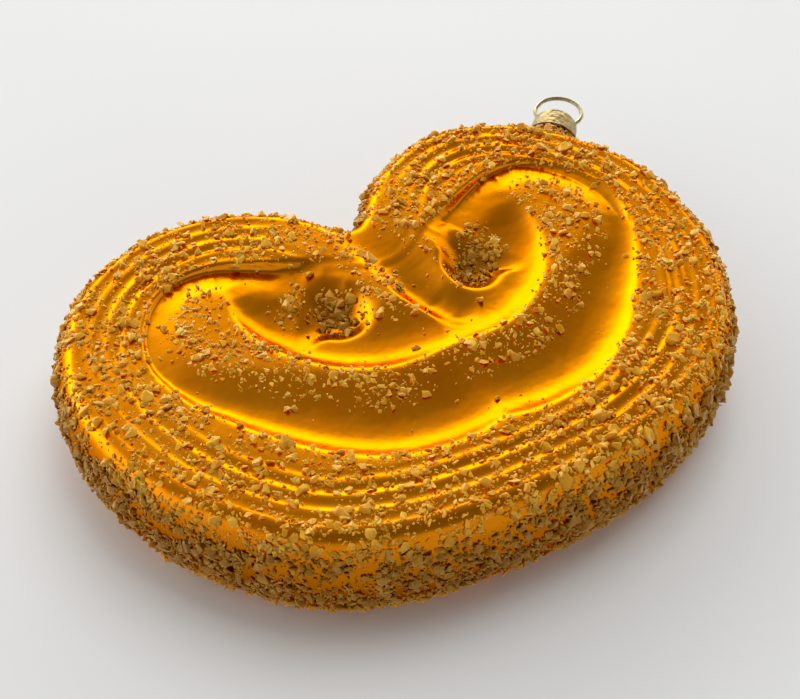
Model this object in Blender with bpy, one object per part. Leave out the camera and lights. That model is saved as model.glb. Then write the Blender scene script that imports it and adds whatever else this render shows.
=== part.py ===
"""A blown-glass tree ornament in the shape of a palmier: a flat heart-shaped pastry whose two
rolled lobes spiral in towards a centre crease. A crimped metal cap and a wire loop sit on a
short glass neck at the shoulder of the right lobe.

+Z is up, +Y runs from the rounded side to the notch of the heart, and +X towards the lobe
that carries the cap. Sizes are in millimetres until a mesh is made.
"""

import math

import bmesh
import bpy
import numpy as np
from mathutils import Matrix, Vector
from mathutils.geometry import delaunay_2d_cdt

MM = 0.001

# Outline on the mould seam: radii at equal steps of angle, anticlockwise from the rounded side.
RIM_RADII = [
    41, 42, 44, 47, 50, 52, 53.5, 54.5, 53.5, 51, 45, 34.5,
    24, 33, 43, 50.5, 55, 56, 54.5, 52, 49.5, 47.5, 44.5, 42,
]  # fmt: skip
TOP_HEIGHT = 8.6
BOTTOM_HEIGHT = 9.8
TOP_INSET = 4.0
BOTTOM_INSET = 5.0
LAND_WIDTH = 1.5
LAND_CLEARANCE = 0.1
NOTCH = (0.0, 24.0)

# Fine ridges of the outer layer, from the rim inwards, each with its own height.
RIDGE_PITCH = 2.63
RIDGE_FIRST = 3.8
RIDGE_HEIGHTS = [0.15, 0.18, 0.1, 0.18, 0.1, 0.08]
RIDGE_BAND = (2.4, 12.6)
RIDGE_FADE = (1.4, 1.6)
RIDGE_FREE_RADIUS = 9.0
RIDGE_FREE_FADE = 8.0

# Valleys of the right spiral, from the rounded side round to the eye; the left one mirrors them.
# Each point of a path has its depth, and the width of its outer wall and of its inner slope.
OUTER_VALLEY = [
    (0, -18.4), (5, -19.3), (10, -19.2), (15, -17.9), (20, -15.1), (25, -11.2), (30.6, -6.4),
    (35.8, -1.5), (39.4, 4), (40.5, 9), (39.3, 14.5), (36.2, 19.4), (31.4, 22.6), (26.2, 22.9),
    (21.4, 21.2), (17.2, 18.9), (13.4, 16.5), (10.4, 14.4),
]  # fmt: skip
OUTER_DEPTH = [1.8, 2.1, 2.1, 2.1, 2.0, 1.9, 1.6, 1.2, 0.9, 0.8, 0.8, 0.9, 1.0, 1.2, 1.6, 2.0, 1.7, 0.6]
OUTER_WALL = [6.8, 6.8, 6.8, 6.8, 6.6, 6.0, 4.8, 3.2, 1.8, 1.2, 1.0, 1.0, 1.0, 1.0, 1.1, 1.4, 2.0, 3.0]
OUTER_SLOPE = [8.6, 8.6, 8.6, 8.4, 8.2, 7.4, 6.2, 4.8, 4.2, 4.0, 4.2, 4.6, 5.0, 5.6, 6.4, 7.2, 7.6, 7.0]
INNER_VALLEY = [(0, -4.8), (4, -3.9), (9, -2.7), (14, -0.4), (18, 2.9), (21.2, 7), (22.8, 11.5), (23, 15.5)]
INNER_DEPTH = [1.1, 1.6, 1.9, 2.0, 2.0, 1.8, 1.5, 0.8]
INNER_WALL = [4.9, 6.0, 6.6, 6.2, 5.6, 4.8, 4.0, 3.4]
INNER_SLOPE = [5.0, 7.0, 8.0, 8.0, 8.0, 8.0, 7.0, 5.0]
EYE = [(11.6, 6.4), (13.6, 8.0), (16.6, 9.8)]
EYE_DEPTH = [4.0, 3.6, 1.8]
EYE_WALL = [6.5, 8.0, 9.5]
EYE_SLOPE = [5.0, 6.5, 9.0]
# The crease runs from the notch into the right spiral's inner valley and has no mirror image.
CREASE = [(0.3, 24), (1.4, 18), (2.8, 13), (3.2, 9), (3.3, 5), (4.2, 1), (6, -2.2)]
CREASE_DEPTH = [0.5, 0.8, 1.2, 1.7, 2.1, 2.3, 1.6]
CREASE_WALL = [5.0, 5.5, 5.5, 5.0, 4.6, 4.0, 4.0]
CREASE_SLOPE = [6.0, 7.0, 7.0, 6.5, 5.5, 4.5, 4.5]
WALL_POWER = 2.6
SLOPE_POWER = 1.7
CREST_ROUNDING = 0.25
DEPTH_BLEND = 2.0

# The pattern sits a little towards the cap's lobe, most of all in the middle.
PATTERN_SHIFT = 0.85
LEAN = 0.7
LEAN_CENTRE_Y = 4.0
LEAN_REACH = 22.0

# Mesh of each face: columns round the rim, rows across the outer layer, and a fill between.
COLUMNS = 104
WALL_ROWS = 4
BAND_ROWS = 7
BAND_WIDTH = 12.8
OUTLINE_POINTS = 720
TINY = 1e-6
FILL_SPACING = 2.7
LINE_SPACING = 2.3
LINE_GAP = 0.95
PATTERN_GAP = 1.7
EDGE_GAP = 1.2
OUTER_LINES = (-6.4, -4.2, -2.2, -1.1, 0, 2.4, 5.2, 8.4)
INNER_LINES = (-6.2, -4.2, -2.2, 0, 2.6, 5.4, 8.0)
EYE_LINES = (-6.5, -3.8, -1.8, 0, 1.8, 4.0, 6.2)
CREASE_LINES = (-4.8, -2.4, 0, 2.4, 5.0)

# The cap's top centre, the direction in which its axis points, and its turned profiles, given
# as (radius, distance below the top).
CAP_TOP = (50.2, 37.35)
CAP_AZIMUTH = math.radians(48.5)
CAP_OUTSIDE = [(0, 0), (3.7, 0), (4.0, 0.12), (4.2, 0.45), (4.45, 4.4), (4.9, 5.4), (5.4, 6.0)]
CAP_INSIDE = [(5.05, 6.15), (4.55, 5.5), (4.1, 4.5), (3.75, 0.55), (0, 0.5)]
CAP_SEGMENTS = 36
NECK_PROFILE = [
    (0, 0.85), (3.1, 0.85), (3.4, 1.15), (3.45, 5.6), (4.3, 6.7), (5.3, 7.9), (6.4, 9.6),
    (6.4, 12.5), (0, 12.5),
]  # fmt: skip
NECK_SEGMENTS = 28

# The loop's right half as (half width, height above the cap's top), from its foot to its crown.
LOOP_HALF = [(2.5, -0.45), (2.55, 0.35), (3.3, 1.3), (4.2, 3.0), (4.35, 4.9), (3.45, 7.2), (1.8, 8.5)]
LOOP_CROWN = (0, 8.9)
WIRE_RADIUS = 0.38
LOOP_STEPS = 3

# Round holes in the cap's top, one for each leg of the loop.
HOLE_RADIUS = 0.75
HOLE_SEGMENTS = 16
HOLE_TURN = 0.1
DRILL_DEPTHS = (-1.0, 1.2)


def spline(points, steps):
    """Points on a Catmull-Rom curve through the given ones."""
    given = np.asarray(points, float)
    ends = (2 * given[0] - given[1], 2 * given[-1] - given[-2])
    p = np.vstack([ends[0], given, ends[1]])
    t = np.linspace(0, 1, steps, endpoint=False)[:, None]
    runs = [catmull_rom(p[i - 1], p[i], p[i + 1], p[i + 2], t) for i in range(1, len(p) - 2)]
    return np.vstack([*runs, given[-1:]])


def catmull_rom(a, b, c, d, t):
    bend = (2 * a - 5 * b + 4 * c - d) * t**2
    twist = (3 * b - a - 3 * c + d) * t**3
    return 0.5 * (2 * b + (c - a) * t + bend + twist)


def outline(count):
    """Points round the seam, anticlockwise from the rounded side."""
    radii = np.array(RIM_RADII)
    turn = np.arange(count) / count
    place = turn * len(radii)
    first = np.floor(place).astype(int)
    near = [radii[(first + k) % len(radii)] for k in (-1, 0, 1, 2)]
    radius = catmull_rom(*near, place - first)
    angle = 2 * np.pi * turn - np.pi / 2
    return np.stack([radius * np.cos(angle), radius * np.sin(angle)], axis=1)


def outward(points):
    """Unit normals of a closed anticlockwise outline."""
    along = np.roll(points, -1, axis=0) - np.roll(points, 1, axis=0)
    normal = np.stack([along[:, 1], -along[:, 0]], axis=1)
    return normal / np.linalg.norm(normal, axis=1, keepdims=True)


def nearest(points, path, closed=False):
    """Distance to a path, the side it is on (1 left, -1 right) and the share of its length."""
    start = path if closed else path[:-1]
    run = (np.roll(path, -1, axis=0) if closed else path[1:]) - start
    length = np.hypot(run[:, 0], run[:, 1])
    travelled = np.concatenate([[0], np.cumsum(length)])
    away = points[:, None, :] - start[None]
    share = np.clip((away * run).sum(axis=2) / length**2, 0, 1)
    off = away - share[..., None] * run
    distance = np.hypot(off[..., 0], off[..., 1])
    row = np.arange(len(points))
    best = distance.argmin(axis=1)
    off = off[row, best]
    ahead = run[best] / length[best][:, None]
    cross = ahead[:, 0] * off[:, 1] - ahead[:, 1] * off[:, 0]
    side = cross / np.maximum(distance[row, best], TINY)
    along = (travelled[best] + share[row, best] * length[best]) / travelled[-1]
    return distance[row, best], side, along


def smooth(t):
    t = np.clip(t, 0, 1)
    return t * t * (3 - 2 * t)


def flank(t, power):
    """1 on a valley's floor and 0 at its edge, where it runs out over a short rounding."""
    rest = 1 - np.clip(t, 0, 2) ** power
    return (rest + np.sqrt(rest**2 + CREST_ROUNDING**2)) / (1 + math.sqrt(1 + CREST_ROUNDING**2))


def shares(path):
    """Share of the whole length at which each given point of a path lies."""
    dense = spline(path, 10)
    travelled = np.concatenate([[0], np.cumsum(np.hypot(*np.diff(dense, axis=0).T))])
    return travelled[::10] / travelled[-1]


def valley(points, path, depths, walls, slopes):
    """Depth of a valley with a steep wall on its right side and a long slope on its left."""
    distance, side, along = nearest(points, spline(path, 10))
    stations = shares(path)

    def at(values):
        return np.interp(along, stations, values)

    wall = flank(distance / at(walls), WALL_POWER)
    slope = flank(distance / at(slopes), SLOPE_POWER)
    return at(depths) * (slope + (wall - slope) * smooth(0.5 - 0.5 * side))


def ridges(x, y, inset):
    """Height of the fine ridges, left out round the notch."""
    fade_in = smooth((inset - RIDGE_BAND[0]) / RIDGE_FADE[0])
    fade_out = 1 - smooth((inset - RIDGE_BAND[1]) / RIDGE_FADE[1])
    from_notch = np.hypot(x - NOTCH[0], y - NOTCH[1])
    clear = smooth((from_notch - RIDGE_FREE_RADIUS) / RIDGE_FREE_FADE)
    turn = (inset - RIDGE_FIRST) / RIDGE_PITCH
    height = np.interp(turn, np.arange(len(RIDGE_HEIGHTS)) - 0.5, RIDGE_HEIGHTS)
    return height * fade_in * fade_out * clear * np.cos(2 * np.pi * turn)


def halves(points):
    """The points seen from the pattern's middle line, both sides on the right half."""
    y = points[:, 1]
    reach = np.hypot(points[:, 0], y - LEAN_CENTRE_Y) / LEAN_REACH
    x = points[:, 0] - PATTERN_SHIFT - LEAN * np.exp(-(reach**2))
    return np.stack([np.abs(x), y], axis=1)


def relief(points, inset):
    """Height of the upper face above the seam, at points that far inside the outline."""
    half = halves(points)
    edge = np.clip(1 - inset / TOP_INSET, 0, 1)
    rim = TOP_HEIGHT * np.sqrt(1 - edge**2)
    cuts = (
        valley(half, OUTER_VALLEY, OUTER_DEPTH, OUTER_WALL, OUTER_SLOPE),
        valley(half, INNER_VALLEY, INNER_DEPTH, INNER_WALL, INNER_SLOPE),
        valley(half, EYE, EYE_DEPTH, EYE_WALL, EYE_SLOPE),
        valley(points, CREASE, CREASE_DEPTH, CREASE_WALL, CREASE_SLOPE),
    )
    depth = sum(np.maximum(cut, 0) ** DEPTH_BLEND for cut in cuts) ** (1 / DEPTH_BLEND)
    return rim + ridges(points[:, 0], points[:, 1], inset) - depth


def underside(points, inset):
    """Height of the lower face: the same relief turned over, with a flat land to rest on."""
    edge = np.clip(1 - inset / BOTTOM_INSET, 0, 1)
    wall = -BOTTOM_HEIGHT * np.sqrt(1 - edge**2)
    raised = (max(RIDGE_HEIGHTS) - relief(points, inset)) * BOTTOM_HEIGHT / TOP_HEIGHT
    on_land = inset < BOTTOM_INSET + LAND_WIDTH + TINY
    return np.where(on_land, wall, np.maximum(raised, LAND_CLEARANCE - BOTTOM_HEIGHT))


def rim_columns():
    """Outline points and normals, evenly spaced half way across the outer layer."""
    rim = outline(OUTLINE_POINTS)
    normal = outward(rim)
    middle = rim - normal * BAND_WIDTH / 2
    step = np.linalg.norm(np.roll(middle, -1, axis=0) - middle, axis=1)
    travelled = np.concatenate([[0], np.cumsum(step)])
    place = np.arange(COLUMNS) * travelled[-1] / COLUMNS
    chosen = np.searchsorted(travelled, place)
    return rim[chosen], normal[chosen]


def row_insets():
    """Distances inside the outline at which the rows run, from the seam inwards."""
    turn = np.linspace(0, np.pi / 2, WALL_ROWS + 1)
    wall = BOTTOM_INSET * (1 - np.cos(turn))
    land = [BOTTOM_INSET + LAND_WIDTH]
    band = np.linspace(land[0], BAND_WIDTH, BAND_ROWS)[1:]
    return np.concatenate([wall, land, band])


def mirrored(points):
    """The points of the right half and of the left one, both moved with the pattern."""
    both = np.vstack([points, points * (-1, 1)])
    reach = np.hypot(both[:, 0], both[:, 1] - LEAN_CENTRE_Y) / LEAN_REACH
    moved = PATTERN_SHIFT + LEAN * np.exp(-(reach**2))
    return both + np.stack([moved, np.zeros(len(both))], axis=1)


def lines_beside(path, offsets):
    """Points evenly spaced on lines beside a path, at distances to its left."""
    dense = spline(path, 30)
    along = np.gradient(dense, axis=0)
    along /= np.linalg.norm(along, axis=1, keepdims=True)
    left = np.stack([-along[:, 1], along[:, 0]], axis=1)
    lines = []
    for offset in offsets:
        line = dense + left * offset
        travelled = np.concatenate([[0], np.cumsum(np.hypot(*np.diff(line, axis=0).T))])
        stations = np.arange(0, travelled[-1], LINE_SPACING)
        lines.append(np.stack([np.interp(stations, travelled, line[:, k]) for k in (0, 1)], axis=1))
    return np.vstack(lines)


def fill_points(loop):
    """Points inside a closed loop: along the valleys' floors and flanks, and a pattern between."""
    spirals = [
        lines_beside(OUTER_VALLEY, OUTER_LINES),
        lines_beside(INNER_VALLEY, INNER_LINES),
        lines_beside(EYE, EYE_LINES),
    ]
    low, high = loop.min(axis=0), loop.max(axis=0)
    pattern = []
    for row, y in enumerate(np.arange(low[1], high[1], FILL_SPACING * math.sqrt(3) / 2)):
        xs = np.arange(low[0] + (row % 2) * FILL_SPACING / 2, high[0], FILL_SPACING)
        pattern.append(np.stack([xs, np.full(len(xs), y)], axis=1))
    on_lines = np.vstack([lines_beside(CREASE, CREASE_LINES), mirrored(np.vstack(spirals))])
    candidates = np.vstack([on_lines, *pattern])
    gaps = np.where(np.arange(len(candidates)) < len(on_lines), LINE_GAP, PATTERN_GAP)
    distance, side, _ = nearest(candidates, loop, closed=True)
    inside = (side > 0) & (distance > EDGE_GAP)
    return thinned(candidates[inside], gaps[inside])


def thinned(points, gaps):
    """Leaves out each point that lies within its gap of one already kept."""
    kept = points[:1]
    for point, gap in zip(points[1:], gaps[1:]):
        if np.hypot(*(kept - point).T).min() > gap:
            kept = np.vstack([kept, point])
    return kept


def new_object(name, mesh, material):
    if material:
        mesh.materials.append(material)
    obj = bpy.data.objects.new(name, mesh)
    bpy.context.scene.collection.objects.link(obj)
    return obj


def body_mesh():
    """Upper and lower face, each of rows round the rim and a filled middle, joined at the seam."""
    rim, normal = rim_columns()
    insets = row_insets()
    rows = [rim - normal * inset for inset in insets]
    inner = fill_points(rows[-1])
    last = np.vstack([rows[-1], inner])
    hoop = [(i, (i + 1) % COLUMNS) for i in range(COLUMNS)]
    filled = delaunay_2d_cdt([Vector(p) for p in last], hoop, [], 1, TINY)[2]
    flat = np.vstack([*rows, inner])
    depth = nearest(flat, outline(OUTLINE_POINTS), closed=True)[0]
    depth[: len(rows) * COLUMNS] = np.repeat(insets, COLUMNS)
    upper = np.column_stack([flat, relief(flat, depth)])
    lower = np.column_stack([flat, underside(flat, depth)])[COLUMNS:]
    upper[:COLUMNS, 2] = 0
    faces = face_list(len(rows), filled, 0, False)
    faces += face_list(len(rows), filled, len(flat) - COLUMNS, True)
    mesh = bpy.data.meshes.new("glass_body")
    mesh.from_pydata((np.vstack([upper, lower]) * MM).tolist(), [], faces)
    mesh.shade_smooth()
    return mesh


def face_list(row_count, filled, shift, turned):
    """Faces between the rows and across the middle. Both faces share the row on the seam."""

    def index(row, column):
        return row * COLUMNS + column % COLUMNS + (shift if row else 0)

    faces = []
    for row in range(row_count - 1):
        for column in range(COLUMNS):
            near = (index(row, column), index(row, column + 1))
            far = (index(row + 1, column + 1), index(row + 1, column))
            faces.append((*near, *far))
    middle = (row_count - 1) * COLUMNS + shift
    faces += [tuple(middle + corner for corner in face) for face in filled]
    return [face[::-1] for face in faces] if turned else faces


def cap_frame():
    """Turns local +Z into the cap's axis, local +Y into world +Z, with its origin at the cap's top."""
    axis = Vector((math.cos(CAP_AZIMUTH), math.sin(CAP_AZIMUTH), 0))
    up = Vector((0, 0, 1))
    turn = Matrix((up.cross(axis), up, axis)).transposed()
    return Matrix.Translation(Vector((*CAP_TOP, 0)) * MM) @ turn.to_4x4()


def turned_mesh(name, profile, segments):
    """A closed profile of (radius, depth) turned about the local Z axis, from axis to axis."""
    bm = bmesh.new()
    rings = []
    for radius, depth in profile:
        if radius == 0:
            rings.append([bm.verts.new((0, 0, -depth * MM))])
            continue
        angles = [2 * math.pi * k / segments for k in range(segments)]
        ring = [(radius * MM * math.cos(a), radius * MM * math.sin(a), -depth * MM) for a in angles]
        rings.append([bm.verts.new(place) for place in ring])
    for upper, lower in zip(rings, rings[1:]):
        bridge(bm, upper, lower, segments)
    bmesh.ops.recalc_face_normals(bm, faces=bm.faces)
    mesh = bpy.data.meshes.new(name)
    bm.to_mesh(mesh)
    bm.free()
    mesh.shade_smooth()
    mesh.set_sharp_from_angle(angle=math.radians(40))
    return mesh


def bridge(bm, upper, lower, segments):
    for k in range(segments):
        nxt = (k + 1) % segments
        corners = [upper[k % len(upper)], lower[k % len(lower)]]
        if len(lower) > 1:
            corners.append(lower[nxt])
        if len(upper) > 1:
            corners.append(upper[nxt])
        bm.faces.new(corners)


def helper(name, mesh, matrix):
    """An object that only takes part in a Boolean."""
    obj = new_object(name, mesh, None)
    obj.matrix_world = matrix
    obj.hide_render = True
    obj.display_type = "WIRE"
    return obj


def boolean(obj, tool, operation):
    modifier = obj.modifiers.new(tool.name, "BOOLEAN")
    modifier.operation = operation
    modifier.object = tool
    modifier.solver = "EXACT"


def glass_body(material):
    body = new_object("glass_body", body_mesh(), material)
    neck = helper("neck", turned_mesh("neck", NECK_PROFILE, NECK_SEGMENTS), cap_frame())
    boolean(body, neck, "UNION")
    return body


def hanger_cap(material):
    profile = CAP_OUTSIDE + CAP_INSIDE
    cap = new_object("hanger_cap", turned_mesh("hanger_cap", profile, CAP_SEGMENTS), material)
    cap.matrix_world = cap_frame()
    above, below = DRILL_DEPTHS
    drill_profile = [(0, above), (HOLE_RADIUS, above), (HOLE_RADIUS, below), (0, below)]
    for side in (-1, 1):
        drill = turned_mesh("loop_hole", drill_profile, HOLE_SEGMENTS)
        aside = Matrix.Translation((side * LOOP_HALF[0][0] * MM, 0, 0))
        place = cap_frame() @ aside @ Matrix.Rotation(HOLE_TURN, 4, "Z")
        boolean(cap, helper("loop_hole", drill, place), "DIFFERENCE")
    return cap


def hanger_loop(material):
    right = [Vector((width, 0, height)) for width, height in LOOP_HALF]
    left = [Vector((-place.x, 0, place.z)) for place in reversed(right)]
    crown = Vector((LOOP_CROWN[0], 0, LOOP_CROWN[1]))
    path = spline([*right, crown, *left], LOOP_STEPS)
    curve = bpy.data.curves.new("hanger_loop", "CURVE")
    curve.dimensions = "3D"
    curve.bevel_depth = WIRE_RADIUS * MM
    curve.bevel_resolution = 2
    curve.use_fill_caps = True
    wire = curve.splines.new("POLY")
    wire.points.add(len(path) - 1)
    for point, place in zip(wire.points, path):
        point.co = (*(place * MM), 1)
    loop = new_object("hanger_loop", curve, material)
    loop.matrix_world = cap_frame()
    return loop


def make_material(name, colour, roughness, metallic):
    material = bpy.data.materials.new(name)
    material.use_nodes = True
    shader = material.node_tree.nodes["Principled BSDF"]
    shader.inputs["Base Color"].default_value = (*colour, 1)
    shader.inputs["Roughness"].default_value = roughness
    shader.inputs["Metallic"].default_value = metallic
    return material


def stand_on_origin(nodes):
    """Moves everything so that the bounding box of the nodes stands centred on the origin."""
    bpy.context.view_layer.update()
    graph = bpy.context.evaluated_depsgraph_get()
    places = []
    for node in nodes:
        evaluated = node.evaluated_get(graph)
        mesh = evaluated.to_mesh()
        points = np.empty(len(mesh.vertices) * 3, np.float32)
        mesh.vertices.foreach_get("co", points)
        matrix = np.array(evaluated.matrix_world)
        places.append(points.reshape(-1, 3) @ matrix[:3, :3].T + matrix[:3, 3])
        evaluated.to_mesh_clear()
    places = np.vstack(places)
    low, high = places.min(axis=0), places.max(axis=0)
    shift = Vector((-(low[0] + high[0]) / 2, -(low[1] + high[1]) / 2, -low[2]))
    for obj in bpy.context.scene.objects:
        obj.location += shift


def main():
    for obj in list(bpy.data.objects):
        bpy.data.objects.remove(obj)
    gold_glass = make_material("gold_glass", (0.93, 0.50, 0.02), 0.22, 0.9)
    pale_brass = make_material("pale_brass", (0.62, 0.50, 0.26), 0.32, 1.0)
    wire_brass = make_material("wire_brass", (0.66, 0.58, 0.38), 0.25, 1.0)
    stand_on_origin([glass_body(gold_glass), hanger_cap(pale_brass), hanger_loop(wire_brass)])


main()
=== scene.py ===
"""Looks of a blown-glass tree ornament shaped as a sugared palmier: the golden glass body, the
amber glass grit that stands for its sugar, the pressed cap and the wire loop.

Sizes are in millimetres in the mould's own frame (seam plane at z = 0, +Y to the notch) until
a mesh is made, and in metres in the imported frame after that.
"""

import math

import bmesh
import bpy
import numpy as np
from mathutils import Matrix, Vector
from mathutils.geometry import delaunay_2d_cdt


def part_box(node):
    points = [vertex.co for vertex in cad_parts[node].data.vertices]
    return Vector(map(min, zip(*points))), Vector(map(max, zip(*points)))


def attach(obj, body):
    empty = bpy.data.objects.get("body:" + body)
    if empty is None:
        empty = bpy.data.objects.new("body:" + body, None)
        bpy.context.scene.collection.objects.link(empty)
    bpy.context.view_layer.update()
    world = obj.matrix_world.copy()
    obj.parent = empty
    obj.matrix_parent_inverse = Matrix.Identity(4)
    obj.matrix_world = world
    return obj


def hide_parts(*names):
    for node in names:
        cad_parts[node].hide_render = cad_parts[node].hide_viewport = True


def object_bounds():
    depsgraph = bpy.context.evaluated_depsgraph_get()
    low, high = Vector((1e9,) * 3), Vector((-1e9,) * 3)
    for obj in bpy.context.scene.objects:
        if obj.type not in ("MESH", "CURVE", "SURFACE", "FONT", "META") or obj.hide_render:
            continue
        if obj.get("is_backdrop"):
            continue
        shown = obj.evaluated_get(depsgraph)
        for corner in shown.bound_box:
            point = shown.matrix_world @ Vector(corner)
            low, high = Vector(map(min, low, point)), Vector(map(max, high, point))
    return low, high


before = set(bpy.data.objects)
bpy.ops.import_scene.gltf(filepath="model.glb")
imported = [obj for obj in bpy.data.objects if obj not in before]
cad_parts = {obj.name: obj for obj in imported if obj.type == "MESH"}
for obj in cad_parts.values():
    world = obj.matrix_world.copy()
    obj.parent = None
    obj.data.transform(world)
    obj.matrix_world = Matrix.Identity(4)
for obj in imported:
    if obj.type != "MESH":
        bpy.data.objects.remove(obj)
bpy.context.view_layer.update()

MM = 0.001
SEED = 20

# --- The relief ---------------------------------------------------------------------------------
# It is that of the solid, but for a steeper outer wall and a straighter slope at the lobes' tops.

# Outline on the mould seam: radii at equal steps of angle, anticlockwise from the rounded side.
RIM_RADII = [
    41, 42, 44, 47, 50, 52, 53.5, 54.5, 53.5, 51, 45, 34.5,
    24, 33, 43, 50.5, 55, 56, 54.5, 52, 49.5, 47.5, 44.5, 42,
]  # fmt: skip
TOP_HEIGHT = 8.6
BOTTOM_HEIGHT = 9.8
TOP_INSET = 4.0
BOTTOM_INSET = 5.0
LAND_WIDTH = 1.5
LAND_CLEARANCE = 0.1
NOTCH = (0.0, 24.0)

# Fine ridges of the outer layer, from the rim inwards, each with its own height.
RIDGE_PITCH = 2.63
RIDGE_FIRST = 3.8
RIDGE_HEIGHTS = [0.15, 0.18, 0.1, 0.18, 0.1, 0.08]
RIDGE_BAND = (2.4, 12.6)
RIDGE_FADE = (1.4, 1.6)
RIDGE_FREE_RADIUS = 9.0
RIDGE_FREE_FADE = 8.0

# Valleys of the right spiral, from the rounded side round to the eye; the left one mirrors them.
# Each point of a path has its depth, and the width of its outer wall and of its inner slope.
OUTER_VALLEY = [
    (0, -18.4), (5, -19.3), (10, -19.2), (15, -17.9), (20, -15.1), (25, -11.2), (30.6, -6.4),
    (35.8, -1.5), (39.4, 4), (40.5, 9), (39.3, 14.5), (36.2, 19.4), (31.4, 22.6), (26.2, 22.9),
    (21.4, 21.2), (17.2, 18.9), (13.4, 16.5), (10.4, 14.4),
]  # fmt: skip
OUTER_DEPTH = [
    1.8, 2.1, 2.1, 2.1, 2.0, 1.9, 1.6, 1.2, 0.9,
    0.8, 0.8, 0.9, 1.0, 1.2, 1.6, 2.0, 1.7, 0.6,
]  # fmt: skip
OUTER_WALL = [
    6.8, 6.8, 6.8, 6.8, 6.6, 6.0, 4.8, 3.2, 1.8,
    1.1, 0.75, 0.7, 0.7, 0.7, 0.8, 1.2, 2.0, 3.0,
]  # fmt: skip
OUTER_SLOPE = [
    8.6, 8.6, 8.6, 8.4, 8.2, 7.4, 6.2, 4.8, 4.2,
    4.0, 4.2, 4.6, 5.0, 5.6, 6.4, 7.2, 7.6, 7.0,
]  # fmt: skip
# How strongly the slope's profile bends: 1 would be straight.
OUTER_BEND = [
    1.7, 1.7, 1.7, 1.7, 1.7, 1.7, 1.6, 1.5, 1.4,
    1.3, 1.2, 1.2, 1.2, 1.2, 1.3, 1.5, 1.7, 1.7,
]  # fmt: skip
INNER_VALLEY = [
    (0, -4.8), (4, -3.9), (9, -2.7), (14, -0.4), (18, 2.9), (21.2, 7), (22.8, 11.5), (23, 15.5),
]  # fmt: skip
INNER_DEPTH = [1.1, 1.6, 1.9, 2.0, 2.0, 1.8, 1.5, 0.8]
INNER_WALL = [4.9, 6.0, 6.6, 6.2, 5.6, 4.8, 4.0, 3.4]
INNER_SLOPE = [5.0, 7.0, 8.0, 8.0, 8.0, 8.0, 7.0, 5.0]
EYE = [(11.6, 6.4), (13.6, 8.0), (16.6, 9.8)]
EYE_DEPTH = [4.0, 3.6, 1.8]
EYE_WALL = [6.5, 8.0, 9.5]
EYE_SLOPE = [5.0, 6.5, 9.0]
# The crease runs from the notch into the right spiral's inner valley and has no mirror image.
CREASE = [(0.3, 24), (1.4, 18), (2.8, 13), (3.2, 9), (3.3, 5), (4.2, 1), (6, -2.2)]
CREASE_DEPTH = [0.5, 0.8, 1.2, 1.7, 2.1, 2.3, 1.6]
CREASE_WALL = [5.0, 5.5, 5.5, 5.0, 4.6, 4.0, 4.0]
CREASE_SLOPE = [6.0, 7.0, 7.0, 6.5, 5.5, 4.5, 4.5]
WALL_POWER = 2.6
SLOPE_POWER = 1.7
SPLINE_STEPS = 10
CREST_ROUNDING = 0.25
DEPTH_BLEND = 2.0

# The pattern sits a little towards the cap's lobe, most of all in the middle.
PATTERN_SHIFT = 0.85
LEAN = 0.7
LEAN_CENTRE_Y = 4.0
LEAN_REACH = 22.0

# --- Fine mesh of the glass -------------------------------------------------------------------

OUTLINE_POINTS = 1440
COLUMNS = 560
WALL_ROWS = 12
BAND_ROWS = 21
BAND_WIDTH = 11.6
FILL_SPACING = 0.52
EDGE_GAP = 0.3
WALL_LINES = (-0.3, 0.0, 0.25, 0.5, 0.75, 1.0, 1.25, 1.55)
WALL_LINE_REACH = slice(7, 17)
WALL_LINE_STEPS = 24
LEAN_ROUNDS = 4
TINY = 1e-6
BLOCK = 4000

CAP_TOP = (50.2, 37.35)
CAP_AZIMUTH = math.radians(48.5)
NECK_PROFILE = [
    (0, 0.85), (3.1, 0.85), (3.4, 1.15), (3.45, 5.6), (4.3, 6.7), (5.3, 7.9), (6.4, 9.6),
    (6.4, 12.5), (0, 12.5),
]  # fmt: skip
NECK_SEGMENTS = 64


def spline(points, steps):
    """Points on a Catmull-Rom curve through the given ones."""
    given = np.asarray(points, float)
    ends = (2 * given[0] - given[1], 2 * given[-1] - given[-2])
    p = np.vstack([ends[0], given, ends[1]])
    t = np.linspace(0, 1, steps, endpoint=False)[:, None]
    runs = [catmull_rom(p[i - 1], p[i], p[i + 1], p[i + 2], t) for i in range(1, len(p) - 2)]
    return np.vstack([*runs, given[-1:]])


def catmull_rom(a, b, c, d, t):
    bend = (2 * a - 5 * b + 4 * c - d) * t**2
    twist = (3 * b - a - 3 * c + d) * t**3
    return 0.5 * (2 * b + (c - a) * t + bend + twist)


def outline(count):
    """Points round the seam, anticlockwise from the rounded side."""
    radii = np.array(RIM_RADII, float)
    turn = np.arange(count) / count
    place = turn * len(radii)
    first = np.floor(place).astype(int)
    near = [radii[(first + k) % len(radii)] for k in (-1, 0, 1, 2)]
    radius = catmull_rom(*near, place - first)
    angle = 2 * np.pi * turn - np.pi / 2
    return np.stack([radius * np.cos(angle), radius * np.sin(angle)], axis=1)


def outward(points):
    """Unit normals of a closed anticlockwise outline."""
    along = np.roll(points, -1, axis=0) - np.roll(points, 1, axis=0)
    normal = np.stack([along[:, 1], -along[:, 0]], axis=1)
    return normal / np.linalg.norm(normal, axis=1, keepdims=True)


def nearest(points, path, closed=False):
    """Distance to a path, the side it is on (1 left, -1 right) and the share of its length."""
    starts = range(0, len(points), BLOCK)
    parts = [nearest_block(points[i : i + BLOCK], path, closed) for i in starts]
    return tuple(np.concatenate(column) for column in zip(*parts))


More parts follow.
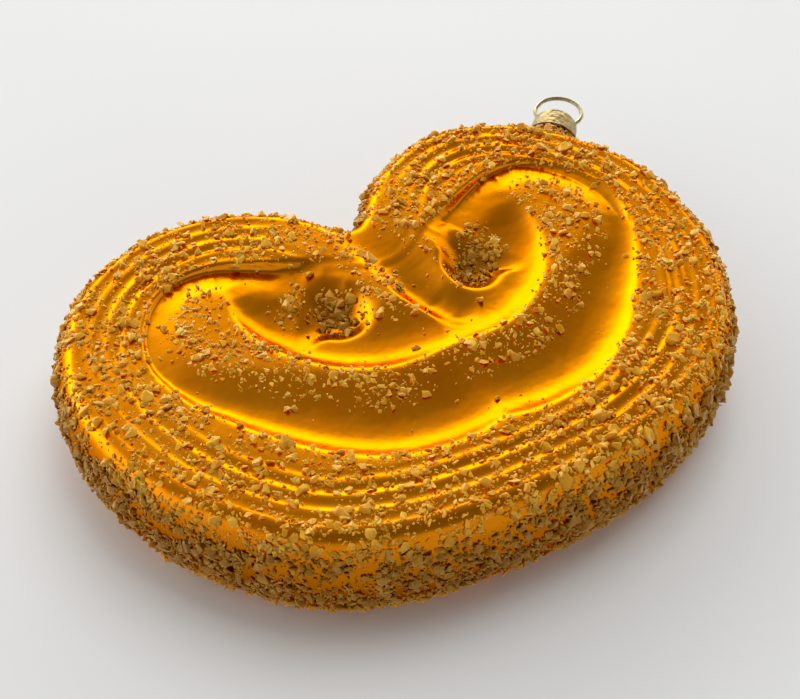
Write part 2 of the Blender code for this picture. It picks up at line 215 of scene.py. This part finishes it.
def nearest_block(points, path, closed):
    start = path if closed else path[:-1]
    run = (np.roll(path, -1, axis=0) if closed else path[1:]) - start
    length = np.hypot(run[:, 0], run[:, 1])
    travelled = np.concatenate([[0], np.cumsum(length)])
    away_x = points[:, None, 0] - start[None, :, 0]
    away_y = points[:, None, 1] - start[None, :, 1]
    share = np.clip((away_x * run[:, 0] + away_y * run[:, 1]) / length**2, 0, 1)
    off_x = away_x - share * run[:, 0]
    off_y = away_y - share * run[:, 1]
    squared = off_x**2 + off_y**2
    row = np.arange(len(points))
    best = squared.argmin(axis=1)
    distance = np.sqrt(squared[row, best])
    ahead = run[best] / length[best][:, None]
    cross = ahead[:, 0] * off_y[row, best] - ahead[:, 1] * off_x[row, best]
    side = cross / np.maximum(distance, TINY)
    along = (travelled[best] + share[row, best] * length[best]) / travelled[-1]
    return distance, side, along


def smooth(t):
    t = np.clip(t, 0, 1)
    return t * t * (3 - 2 * t)


def flank(t, power):
    """1 on a valley's floor and 0 at its edge, where it runs out over a short rounding."""
    rest = 1 - np.clip(t, 0, 2) ** power
    return (rest + np.sqrt(rest**2 + CREST_ROUNDING**2)) / (1 + math.sqrt(1 + CREST_ROUNDING**2))


def shares(path):
    """Share of the whole length at which each given point of a path lies."""
    dense = spline(path, SPLINE_STEPS)
    travelled = np.concatenate([[0], np.cumsum(np.hypot(*np.diff(dense, axis=0).T))])
    return travelled[::SPLINE_STEPS] / travelled[-1]


def valley(points, path, depths, walls, slopes, bend=SLOPE_POWER):
    """Depth of a valley with a steep wall on its right side and a long slope on its left."""
    distance, side, along = nearest(points, spline(path, SPLINE_STEPS))
    stations = shares(path)

    def at(values):
        return np.interp(along, stations, values)

    wall = flank(distance / at(walls), WALL_POWER)
    slope = flank(distance / at(slopes), at(bend) if np.ndim(bend) else bend)
    return at(depths) * (slope + (wall - slope) * smooth(0.5 - 0.5 * side))


def ridges(x, y, inset):
    """Height of the fine ridges, left out round the notch."""
    fade_in = smooth((inset - RIDGE_BAND[0]) / RIDGE_FADE[0])
    fade_out = 1 - smooth((inset - RIDGE_BAND[1]) / RIDGE_FADE[1])
    from_notch = np.hypot(x - NOTCH[0], y - NOTCH[1])
    clear = smooth((from_notch - RIDGE_FREE_RADIUS) / RIDGE_FREE_FADE)
    turn = (inset - RIDGE_FIRST) / RIDGE_PITCH
    height = np.interp(turn, np.arange(len(RIDGE_HEIGHTS)) - 0.5, RIDGE_HEIGHTS)
    return height * fade_in * fade_out * clear * np.cos(2 * np.pi * turn)


def halves(points):
    """The points seen from the pattern's middle line, both sides on the right half."""
    y = points[:, 1]
    reach = np.hypot(points[:, 0], y - LEAN_CENTRE_Y) / LEAN_REACH
    x = points[:, 0] - PATTERN_SHIFT - LEAN * np.exp(-(reach**2))
    return np.stack([np.abs(x), y], axis=1)


def relief(points, inset):
    """Height of the upper face above the seam, at points that far inside the outline."""
    half = halves(points)
    edge = np.clip(1 - inset / TOP_INSET, 0, 1)
    rim = TOP_HEIGHT * np.sqrt(1 - edge**2)
    cuts = (
        valley(half, OUTER_VALLEY, OUTER_DEPTH, OUTER_WALL, OUTER_SLOPE, OUTER_BEND),
        valley(half, INNER_VALLEY, INNER_DEPTH, INNER_WALL, INNER_SLOPE),
        valley(half, EYE, EYE_DEPTH, EYE_WALL, EYE_SLOPE),
        valley(points, CREASE, CREASE_DEPTH, CREASE_WALL, CREASE_SLOPE),
    )
    depth = sum(np.maximum(cut, 0) ** DEPTH_BLEND for cut in cuts) ** (1 / DEPTH_BLEND)
    return rim + ridges(points[:, 0], points[:, 1], inset) - depth


def underside(raised, inset):
    """Height of the lower face: the same relief turned over, with a flat land to rest on."""
    edge = np.clip(1 - inset / BOTTOM_INSET, 0, 1)
    wall = -BOTTOM_HEIGHT * np.sqrt(1 - edge**2)
    turned = (max(RIDGE_HEIGHTS) - raised) * BOTTOM_HEIGHT / TOP_HEIGHT
    on_land = inset < BOTTOM_INSET + LAND_WIDTH + TINY
    return np.where(on_land, wall, np.maximum(turned, LAND_CLEARANCE - BOTTOM_HEIGHT))


def rim_columns():
    """Outline points and normals, evenly spaced half way across the outer layer."""
    rim = outline(OUTLINE_POINTS)
    normal = outward(rim)
    middle = rim - normal * BAND_WIDTH / 2
    step = np.linalg.norm(np.roll(middle, -1, axis=0) - middle, axis=1)
    travelled = np.concatenate([[0], np.cumsum(step)])
    place = np.arange(COLUMNS) * travelled[-1] / COLUMNS
    closed = np.vstack([rim, rim[:1]])
    sides = np.vstack([normal, normal[:1]])
    points = np.stack([np.interp(place, travelled, closed[:, k]) for k in (0, 1)], axis=1)
    turned = np.stack([np.interp(place, travelled, sides[:, k]) for k in (0, 1)], axis=1)
    return points, turned / np.linalg.norm(turned, axis=1, keepdims=True)


def row_insets():
    """Distances inside the outline at which the rows run, from the seam inwards."""
    turn = np.linspace(0, np.pi / 2, WALL_ROWS + 1)
    wall = BOTTOM_INSET * (1 - np.cos(turn))
    land = [BOTTOM_INSET + LAND_WIDTH / 2, BOTTOM_INSET + LAND_WIDTH]
    band = np.linspace(land[-1], BAND_WIDTH, BAND_ROWS)[1:]
    return np.concatenate([wall, land, band])


def fill_points(loop):
    """An even triangular pattern inside a closed loop."""
    low, high = loop.min(axis=0), loop.max(axis=0)
    pattern = []
    for row, y in enumerate(np.arange(low[1], high[1], FILL_SPACING * math.sqrt(3) / 2)):
        xs = np.arange(low[0] + (row % 2) * FILL_SPACING / 2, high[0], FILL_SPACING)
        pattern.append(np.stack([xs, np.full(len(xs), y)], axis=1))
    pattern = np.vstack(pattern)
    beside = wall_lines()
    gap = np.full(len(pattern), np.inf)
    for line in beside:
        gap = np.minimum(gap, nearest(pattern, line)[0])
    pattern = np.vstack([pattern[gap > EDGE_GAP], *beside])
    distance, side, _ = nearest(pattern, loop, closed=True)
    return pattern[(side > 0) & (distance > EDGE_GAP)]


def wall_lines():
    """Rows of points along the narrow part of both outer walls, where the pattern is too coarse."""
    path = spline(OUTER_VALLEY[WALL_LINE_REACH], WALL_LINE_STEPS)
    run = np.gradient(path, axis=0)
    right = np.stack([run[:, 1], -run[:, 0]], axis=1) / np.hypot(*run.T)[:, None]
    lines = []
    for offset in WALL_LINES:
        line = path + right * offset
        for hand in (1, -1):
            x = line[:, 0] * hand + PATTERN_SHIFT
            for _ in range(LEAN_ROUNDS):
                reach = np.hypot(x, line[:, 1] - LEAN_CENTRE_Y) / LEAN_REACH
                x = line[:, 0] * hand + PATTERN_SHIFT + LEAN * np.exp(-(reach**2))
            lines.append(np.stack([x, line[:, 1]], axis=1))
    return lines


def face_rows(row_count, filled, shift, turned):
    """Faces between the rows and across the middle. Both faces share the row on the seam."""
    row, column = np.meshgrid(np.arange(row_count - 1), np.arange(COLUMNS), indexing="ij")

    def index(r, c):
        return r * COLUMNS + c % COLUMNS + np.where(r > 0, shift, 0)

    corners = (index(row, column), index(row, column + 1))
    corners += (index(row + 1, column + 1), index(row + 1, column))
    faces = np.stack(corners, axis=-1).reshape(-1, 4).tolist()
    middle = (row_count - 1) * COLUMNS + shift
    faces += [[middle + corner for corner in face] for face in filled]
    return [face[::-1] for face in faces] if turned else faces


def new_object(name, mesh, material):
    if material:
        mesh.materials.append(material)
    obj = bpy.data.objects.new(name, mesh)
    bpy.context.scene.collection.objects.link(obj)
    return obj


def cap_frame(place):
    """Turns local +Z into the cap's axis, local +Y into world +Z, with its origin at the cap's top."""
    axis = Vector((math.cos(CAP_AZIMUTH), math.sin(CAP_AZIMUTH), 0))
    up = Vector((0, 0, 1))
    turn = Matrix((up.cross(axis), up, axis)).transposed()
    return Matrix.Translation(Vector((*CAP_TOP, 0)) * MM + place) @ turn.to_4x4()


def turned(profile, segments):
    """Points in metres and faces of a profile of (radius, depth) turned about the local Z axis."""
    rows = np.array(profile, float)
    angles = 2 * np.pi * np.arange(segments) / segments
    ring = np.stack([np.cos(angles), np.sin(angles)], axis=1)
    flat = rows[:, None, :1] * ring[None]
    depth = np.broadcast_to(-rows[:, None, 1:], (len(rows), segments, 1))
    points = np.concatenate([flat, depth], axis=2).reshape(-1, 3) * MM
    faces = []
    for row in range(len(rows) - 1):
        for k in range(segments):
            nxt = (k + 1) % segments
            a, b = row * segments, (row + 1) * segments
            faces.append([a + k, b + k, b + nxt, a + nxt])
    return points, faces


def glass_points():
    """Flat points of one face, their distances inside the outline, the rows and the fill."""
    rim, normal = rim_columns()
    insets = row_insets()
    rows = [rim - normal * inset for inset in insets]
    inner = fill_points(rows[-1])
    last = np.vstack([rows[-1], inner])
    hoop = [(i, (i + 1) % COLUMNS) for i in range(COLUMNS)]
    filled = delaunay_2d_cdt([Vector(p) for p in last], hoop, [], 1, TINY)[2]
    flat = np.vstack([*rows, inner])
    middle = nearest(inner, outline(OUTLINE_POINTS), True)[0]
    depth = np.concatenate([np.repeat(insets, COLUMNS), middle])
    return flat, depth, len(rows), filled


def glass_piece(material, place):
    flat, depth, row_count, filled = glass_points()
    raised = relief(flat, depth)
    upper = np.column_stack([flat, raised])
    lower = np.column_stack([flat, underside(raised, depth)])[COLUMNS:]
    upper[:COLUMNS, 2] = 0
    faces = face_rows(row_count, filled, 0, False)
    faces += face_rows(row_count, filled, len(flat) - COLUMNS, True)
    body = np.vstack([upper, lower]) * MM + np.array(place)
    neck, neck_faces = turned(NECK_PROFILE, NECK_SEGMENTS)
    matrix = np.array(cap_frame(place))
    neck = neck @ matrix[:3, :3].T + matrix[:3, 3]
    faces += [[corner + len(body) for corner in face] for face in neck_faces]
    mesh = bpy.data.meshes.new("glass_shell")
    mesh.from_pydata(np.vstack([body, neck]).tolist(), [], faces)
    mesh.shade_smooth()
    return new_object("glass_shell", mesh, material)


# --- Grit ---------------------------------------------------------------------------------------

# Each kind of grit: name, count, corners, smallest and largest size, how much its chips tilt, how
# far they stand off the glass as a share of their size, and how thickly they lie on the two faces
# as a share of the cover on the side wall.
GRIT = (
    ("sugar_lumps", 400, 16, 2.0, 2.9, 0.5, 0.06, 0.45),
    ("sugar_coarse", 3000, 12, 1.4, 2.2, 0.5, 0.12, 0.42),
    ("sugar_medium", 8800, 10, 0.9, 1.4, 0.6, 0.10, 0.5),
    ("sugar_fine", 15800, 8, 0.55, 0.9, 0.6, 0.10, 0.62),
    ("sugar_dust", 16000, 6, 0.35, 0.55, 0.6, 0.10, 0.8),
)
SMALL_SHARE = 1.5
KINDS = 40
FLATNESS = 0.55
CORNER_REACH = (0.75, 1.0)
STRETCH = (0.7, 1.3)
TABLE_GAP = 0.05

PATCH_WAVES = 14
PATCH_SIZES = (4.0, 11.0)
PATCH_DEPTH = 0.4
PATCH_LIMITS = (0.1, 2)

DENSITY_OUTLINE_POINTS = 360
FACE_START = 1
FACE_FADE = 3
SLOPE_START = 0.25
SLOPE_FADE = 0.6
SLOPE_THINNING = 0.4
OUTER_THINNING = 0.97
INNER_THINNING = 0.95
CREASE_THINNING = 0.9
CREASE_WALL_SHARE = 0.5
EYE_COVER = 0.9
EYE_START = 1.5
EYE_FADE = 4
STRIP_OVERLAP = 0.3
STRIP_FADE = 1.4


def flake_shapes(rng, corners):
    """Irregular convex chips about 1 across, each as (points, triangles)."""
    shapes = []
    for _ in range(KINDS):
        bm = bmesh.new()
        for _ in range(corners):
            p = rng.normal(size=3)
            p *= rng.uniform(*CORNER_REACH) / np.linalg.norm(p) / 2
            bm.verts.new(p * (1, 1, FLATNESS))
        bmesh.ops.convex_hull(bm, input=bm.verts)
        loose = [v for v in bm.verts if not v.link_faces]
        bmesh.ops.delete(bm, geom=loose, context="VERTS")
        bmesh.ops.triangulate(bm, faces=bm.faces)
        bmesh.ops.recalc_face_normals(bm, faces=bm.faces)
        bm.verts.index_update()
        points = np.array([v.co[:] for v in bm.verts])
        faces = np.array([[v.index for v in f.verts] for f in bm.faces])
        shapes.append((points, faces))
        bm.free()
    return shapes


# How far the bare glass reaches up the inner slope of each valley, at the points of its path.
OUTER_BARE = [
    2.6, 2.8, 2.8, 2.8, 2.6, 2.4, 2.4, 2.4, 2.6,
    2.8, 3.0, 3.2, 3.6, 4.2, 5.0, 5.8, 6.2, 5.0,
]  # fmt: skip
INNER_BARE = [3.0, 3.6, 4.0, 4.0, 4.0, 3.6, 3.0, 2.0]
CREASE_BARE = [2.0, 3.0, 4.0, 4.2, 4.2, 4.0, 3.6]


def bare_strip(points, path, walls, reaches):
    """1 on the clean outer wall and floor of a valley, 0 on the sugared ground beside it."""
    gap, side, along = nearest(points, spline(path, SPLINE_STEPS))
    stations = shares(path)
    wall = np.interp(along, stations, walls)
    reach = np.interp(along, stations, reaches)
    beside = np.where(side < 0, gap - wall + STRIP_OVERLAP, gap - reach)
    return 1 - smooth(beside / STRIP_FADE + 0.5)


def patches(points):
    """Uneven cover, as a sum of waves of random direction and length."""
    rng = np.random.default_rng(SEED + 1)
    total = np.zeros(len(points))
    for _ in range(PATCH_WAVES):
        way = rng.normal(size=3)
        way *= 2 * np.pi / rng.uniform(*PATCH_SIZES) / np.linalg.norm(way)
        total += np.sin(points @ way + rng.uniform(0, 2 * np.pi))
    return total * math.sqrt(2 / PATCH_WAVES)


def grit_density(points, share):
    """How thickly the grit lies over both faces alike, with that share of it away from the rim."""
    flat = points[:, :2]
    inset = nearest(flat, outline(DENSITY_OUTLINE_POINTS), True)[0]
    half = halves(flat)
    outer = bare_strip(half, OUTER_VALLEY, OUTER_WALL, OUTER_BARE)
    inner = bare_strip(half, INNER_VALLEY, INNER_WALL, INNER_BARE)
    crease_wall = np.array(CREASE_WALL) * CREASE_WALL_SHARE
    crease = bare_strip(flat, CREASE, crease_wall, CREASE_BARE)
    on_top = smooth((inset - FACE_START) / FACE_FADE)
    cover = 1 - (1 - share) * on_top
    scale = np.where(points[:, 2] > 0, 1, TOP_HEIGHT / BOTTOM_HEIGHT)
    depth = TOP_HEIGHT - np.abs(points[:, 2]) * scale
    slopes = 1 - SLOPE_THINNING * on_top * smooth((depth - SLOPE_START) / SLOPE_FADE)
    bare = (1 - OUTER_THINNING * outer) * (1 - INNER_THINNING * inner)
    cover = cover * slopes * bare * (1 - CREASE_THINNING * crease)
    eye = nearest(half, spline(EYE, SPLINE_STEPS))[0]
    in_eye = 1 - smooth((eye - EYE_START) / EYE_FADE)
    cover = np.maximum(cover, EYE_COVER * on_top * in_eye)
    return cover * np.clip(1 + PATCH_DEPTH * patches(points), *PATCH_LIMITS)


def surface_samples(rng, mesh, count, share):
    """Random places on a mesh by area and density, as (points, normals)."""
    mesh.calc_loop_triangles()
    corner = np.empty(len(mesh.vertices) * 3)
    mesh.vertices.foreach_get("co", corner)
    corner = corner.reshape(-1, 3) / MM - SHIFT_MM
    faces = np.empty(len(mesh.loop_triangles) * 3, int)
    mesh.loop_triangles.foreach_get("vertices", faces)
    tri = corner[faces.reshape(-1, 3)]
    cross = np.cross(tri[:, 1] - tri[:, 0], tri[:, 2] - tri[:, 0])
    area = np.linalg.norm(cross, axis=1) / 2
    centre = tri.mean(axis=1)
    normal = cross / np.maximum(2 * area, TINY)[:, None]
    weight = area * grit_density(centre, share)
    chosen = rng.choice(len(tri), size=count, p=weight / weight.sum())
    a, b = rng.random((2, count))
    over = a + b > 1
    a[over], b[over] = 1 - a[over], 1 - b[over]
    picked = tri[chosen]
    first, second = picked[:, 1] - picked[:, 0], picked[:, 2] - picked[:, 0]
    points = picked[:, 0] + a[:, None] * first + b[:, None] * second
    return points, normal[chosen]


def turn_matrices(rng, normals, tilt):
    """Rotations that lay each flake on the surface, spun at random and tilted by chance."""
    count = len(normals)
    leaned = normals + rng.normal(size=(count, 3)) * tilt
    leaned /= np.linalg.norm(leaned, axis=1, keepdims=True)
    helper = rng.normal(size=(count, 3))
    first = np.cross(helper, leaned)
    first /= np.linalg.norm(first, axis=1, keepdims=True)
    second = np.cross(leaned, first)
    return np.stack([first, second, leaned], axis=2)


def grit_piece(name, rng, shapes, points, normals, sizes, tilt, sink, material, place):
    turns = turn_matrices(rng, normals, tilt)
    stretch = rng.uniform(*STRETCH, size=(len(points), 3)) * sizes[:, None]
    kinds = rng.integers(len(shapes), size=len(points))
    verts, faces, start = [], [], 0
    for kind, (shape, triangles) in enumerate(shapes):
        here = np.flatnonzero(kinds == kind)
        local = shape[None] * stretch[here][:, None, :]
        turned = np.einsum("nij,nvj->nvi", turns[here], local)
        centres = points[here] + normals[here] * (sizes[here] * sink)[:, None]
        placed = turned + centres[:, None, :]
        verts.append(placed.reshape(-1, 3))
        offsets = start + np.arange(len(here))[:, None, None] * len(shape)
        faces.append((triangles[None] + offsets).reshape(-1, 3))
        start += len(here) * len(shape)
    verts = np.vstack(verts)
    faces = np.vstack(faces)
    verts[:, 2] = np.maximum(verts[:, 2], TABLE_GAP - BOTTOM_HEIGHT)
    mesh = bpy.data.meshes.new(name)
    mesh.from_pydata((verts * MM + np.array(place)).tolist(), [], faces.tolist())
    return new_object(name, mesh, material)


# --- Materials ----------------------------------------------------------------------------------


# Painted shade by height above the seam: darker, shaded copies of the glass and grit colours, in full
# up to the first share of the face's height and gone by the second. It covers the side wall and also
# darkens the valleys and eyes of both faces, the deeper the more.
FULL_SHADE_END = 0.55
SHADE_FADE_END = 0.95
# Colour sockets of a mix node.
MIX_FIRST, MIX_SECOND, MIX_RESULT = 6, 7, 2


class Nodes:
    """A short way to lay out a material's nodes."""

    def __init__(self, name):
        self.material = bpy.data.materials.new(name)
        self.material.use_nodes = True
        self.tree = self.material.node_tree
        self.shader = self.tree.nodes["Principled BSDF"]

    def add(self, kind, **settings):
        node = self.tree.nodes.new("ShaderNode" + kind)
        for key, value in settings.items():
            setattr(node, key, value)
        return node

    def plug(self, node, socket, value):
        target = node.inputs[socket]
        if isinstance(value, bpy.types.NodeSocket):
            self.tree.links.new(value, target)
        else:
            target.default_value = value

    def coords(self):
        return self.add("TexCoord").outputs["Object"]

    def noise(self, scale, detail=2.0):
        node = self.add("TexNoise")
        self.plug(node, "Scale", scale)
        self.plug(node, "Detail", detail)
        self.plug(node, "Vector", self.coords())
        return node.outputs["Fac"]

    def outside_painted_shade(self):
        """Share of the unshaded colour by height alone: 0 in full painted shade on the side wall and
        deep in hollows, 1 high on both faces.
        """
        split = self.add("SeparateXYZ")
        self.plug(split, 0, self.coords())
        off = self.add("Math", operation="SUBTRACT")
        self.plug(off, 0, split.outputs["Z"])
        self.plug(off, 1, BOTTOM_HEIGHT * MM)
        size = self.add("Math", operation="ABSOLUTE")
        self.plug(size, 0, off.outputs[0])
        span = self.add("MapRange")
        self.plug(span, "From Min", FULL_SHADE_END * TOP_HEIGHT * MM)
        self.plug(span, "From Max", SHADE_FADE_END * TOP_HEIGHT * MM)
        self.plug(span, "Value", size.outputs[0])
        return span.outputs["Result"]

    def mixed(self, factor, first, second):
        node = self.add("Mix", data_type="RGBA")
        self.plug(node, "Factor", factor)
        self.plug(node, MIX_FIRST, first)
        self.plug(node, MIX_SECOND, second)
        return node.outputs[MIX_RESULT]

    def ramp(self, factor, stops):
        node = self.add("ValToRGB")
        self.plug(node, "Fac", factor)
        elements = node.color_ramp.elements
        while len(elements) < len(stops):
            elements.new(0.5)
        for element, (position, colour) in zip(elements, stops):
            element.position = position
            element.color = (*colour, 1)
        return node.outputs["Color"]

    def grey_ramp(self, factor, stops):
        return self.ramp(factor, [(p, (v, v, v)) for p, v in stops])

    def bump(self, height, strength, distance):
        node = self.add("Bump")
        self.plug(node, "Strength", strength)
        self.plug(node, "Distance", distance)
        self.plug(node, "Height", height)
        return node.outputs["Normal"]

    def set(self, **values):
        for key, value in values.items():
            self.plug(self.shader, key.replace("_", " "), value)
        return self.material


def gold_glass_material():
    m = Nodes("gold_lacquered_glass")
    tone = m.noise(60, detail=3)
    light = m.ramp(tone, [(0.35, (0.94, 0.27, 0.003)), (0.65, (0.97, 0.32, 0.005))])
    # Painted shade: a darker copy of the glass colour, used on the side wall and deep in the hollows.
    shaded_glass_colour = m.ramp(tone, [(0.35, (0.52, 0.15, 0.002)), (0.65, (0.62, 0.20, 0.003))])
    colour = m.mixed(m.outside_painted_shade(), shaded_glass_colour, light)
    grain = m.noise(900, detail=2)
    rough = m.grey_ramp(grain, [(0.3, 0.19), (0.7, 0.27)])
    wave = m.noise(260, detail=2)
    return m.set(
        Base_Color=colour,
        Metallic=1.0,
        Roughness=rough,
        Specular_Tint=(1.0, 0.55, 0.0, 1),
        Normal=m.bump(wave, 0.25, 0.0004),
    )


def grit_material():
    m = Nodes("amber_grit")
    tone = m.noise(350, detail=1)
    pale = m.ramp(tone, [(0.3, (0.64, 0.28, 0.006)), (0.7, (0.86, 0.48, 0.05))])
    # Painted shade: a darker, browner copy of the grit colour, used on the side wall and deep in the
    # hollows.
    shaded_grit_colour = m.ramp(tone, [(0.3, (0.32, 0.125, 0.003)), (0.7, (0.48, 0.23, 0.018))])
    return m.set(
        Base_Color=m.mixed(m.outside_painted_shade(), shaded_grit_colour, pale),
        Subsurface_Weight=0.8,
        Subsurface_Radius=(0.4, 0.36, 0.3),
        Subsurface_Scale=0.001,
        Roughness=0.25,
        IOR=1.42,
        Specular_Tint=(1.0, 0.85, 0.55, 1),
    )


def cap_material():
    m = Nodes("pale_brass")
    tone = m.noise(900, detail=3)
    colour = m.ramp(tone, [(0.35, (0.27, 0.185, 0.055)), (0.7, (0.46, 0.34, 0.12))])
    stamped = m.noise(1100, detail=1)
    return m.set(
        Base_Color=colour,
        Metallic=1.0,
        Roughness=0.3,
        Normal=m.bump(stamped, 0.6, 0.0004),
    )


def wire_material():
    m = Nodes("wire_brass")
    tone = m.noise(1500, detail=2)
    colour = m.ramp(tone, [(0.35, (0.36, 0.29, 0.14)), (0.7, (0.54, 0.45, 0.26))])
    return m.set(Base_Color=colour, Metallic=1.0, Roughness=0.22)


def floor_material():
    m = Nodes("pale_table")
    tone = m.noise(6, detail=2)
    colour = m.ramp(tone, [(0.3, (0.78, 0.78, 0.77)), (0.7, (0.82, 0.82, 0.81))])
    return m.set(Base_Color=colour, Roughness=0.55)


# --- Stage --------------------------------------------------------------------------------------

CAMERA_PLACE = (-70.24, -126.34, 160.71)
CAMERA_AHEAD = (0.320, 0.602, -0.731)
CAMERA_RIGHT = (0.883, -0.469, 0)
LENS = 58.5
SENSOR = 36


def make_camera():
    data = bpy.data.cameras.new("camera")
    data.sensor_width = SENSOR
    data.lens = LENS
    data.clip_start = 0.005
    data.clip_end = 10
    camera = bpy.data.objects.new("camera", data)
    bpy.context.scene.collection.objects.link(camera)
    ahead = Vector(CAMERA_AHEAD).normalized()
    right = Vector(CAMERA_RIGHT)
    right = (right - ahead * right.dot(ahead)).normalized()
    camera.matrix_world = Matrix((right, right.cross(ahead), -ahead)).transposed().to_4x4()
    camera.location = Vector(CAMERA_PLACE) * MM
    bpy.context.scene.camera = camera


def area_light(name, azimuth, elevation, distance, side, energy):
    """A square light at an azimuth clockwise from +Y, aimed at the origin."""
    data = bpy.data.lights.new(name, "AREA")
    data.shape = "SQUARE"
    data.size = side
    data.energy = energy
    obj = bpy.data.objects.new(name, data)
    a, e = math.radians(azimuth), math.radians(elevation)
    away = Vector((math.sin(a) * math.cos(e), math.cos(a) * math.cos(e), math.sin(e)))
    obj.location = away * distance
    obj.rotation_euler = (-away).to_track_quat("-Z", "Y").to_euler()
    bpy.context.scene.collection.objects.link(obj)
    return obj


KEY_PLACE = (60, 68, 1.2)
KEY_SIDE = 0.9
KEY_POWER = 4.7 * math.pi * 0.45
TABLE_HALF = 1.2
SKY_SCALE = 3.4
SKY = [(0.0, 3.3), (0.41, 3.3), (0.58, 0.88), (0.86, 0.74), (0.97, 0.8)]
BACK_AZIMUTH = math.radians(98)
BACK_SHARE = [(0.3, 0.2), (0.68, 0.42), (0.86, 1.0)]


def make_world():
    """Soft room light: a bright band near the horizon, brightest beyond the ornament."""
    world = bpy.data.worlds.new("studio")
    bpy.context.scene.world = world
    world.use_nodes = True
    tree = world.node_tree
    coords = tree.nodes.new("ShaderNodeTexCoord")
    split = tree.nodes.new("ShaderNodeSeparateXYZ")
    tree.links.new(coords.outputs["Generated"], split.inputs[0])
    sky = grey_steps(tree, split.outputs["Z"], SKY, SKY_SCALE)
    facing = tree.nodes.new("ShaderNodeVectorMath")
    facing.operation = "DOT_PRODUCT"
    facing.inputs[1].default_value = (math.cos(BACK_AZIMUTH) / 2, math.sin(BACK_AZIMUTH) / 2, 0)
    tree.links.new(coords.outputs["Generated"], facing.inputs[0])
    share = tree.nodes.new("ShaderNodeMath")
    share.inputs[1].default_value = 0.5
    tree.links.new(facing.outputs["Value"], share.inputs[0])
    side = grey_steps(tree, share.outputs[0], BACK_SHARE, 1)
    total = tree.nodes.new("ShaderNodeMix")
    total.data_type = "RGBA"
    total.blend_type = "MULTIPLY"
    total.inputs["Factor"].default_value = 1
    tree.links.new(sky, total.inputs[MIX_FIRST])
    tree.links.new(side, total.inputs[MIX_SECOND])
    background = tree.nodes["Background"]
    background.inputs["Strength"].default_value = SKY_SCALE
    tree.links.new(total.outputs[MIX_RESULT], background.inputs["Color"])


def grey_steps(tree, value, steps, scale):
    """A ramp of grey levels divided by a scale, so that none is above 1."""
    ramp = tree.nodes.new("ShaderNodeValToRGB")
    elements = ramp.color_ramp.elements
    while len(elements) < len(steps):
        elements.new(0.5)
    for element, (place, level) in zip(elements, steps):
        element.position = place
        element.color = (level / scale,) * 3 + (1,)
    tree.links.new(value, ramp.inputs["Fac"])
    return ramp.outputs["Color"]


def make_stage():
    mesh = bpy.data.meshes.new("table_top")
    signs = ((-1, -1), (1, -1), (1, 1), (-1, 1))
    corners = [(x * TABLE_HALF, y * TABLE_HALF, 0) for x, y in signs]
    mesh.from_pydata(corners, [], [(0, 1, 2, 3)])
    floor = new_object("table_top", mesh, floor_material())
    floor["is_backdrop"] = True
    make_world()
    key = area_light("key", *KEY_PLACE, KEY_SIDE, KEY_POWER)
    key.visible_glossy = False
    bpy.context.scene.view_settings.view_transform = "Standard"


body_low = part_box("glass_body")[0] / MM
rim_low = outline(OUTLINE_POINTS).min(axis=0)
SHIFT_MM = np.array([body_low.x - rim_low[0], body_low.y - rim_low[1], BOTTOM_HEIGHT])
PLACE = Vector(SHIFT_MM) * MM

glass = glass_piece(gold_glass_material(), PLACE)
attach(glass, "root")
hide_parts("glass_body")

rng = np.random.default_rng(SEED)
grit = grit_material()
for name, count, corners, low, high, tilt, sink, share in GRIT:
    shapes = flake_shapes(rng, corners)
    points, normals = surface_samples(rng, glass.data, count, share)
    sizes = low * (high / low) ** (rng.random(count) ** SMALL_SHARE)
    piece = grit_piece(name, rng, shapes, points, normals, sizes, tilt, sink, grit, PLACE)
    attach(piece, "root")

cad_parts["hanger_cap"].data.materials.clear()
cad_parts["hanger_cap"].data.materials.append(cap_material())
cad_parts["hanger_loop"].data.materials.clear()
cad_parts["hanger_loop"].data.materials.append(wire_material())

make_camera()
make_stage()

low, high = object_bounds()
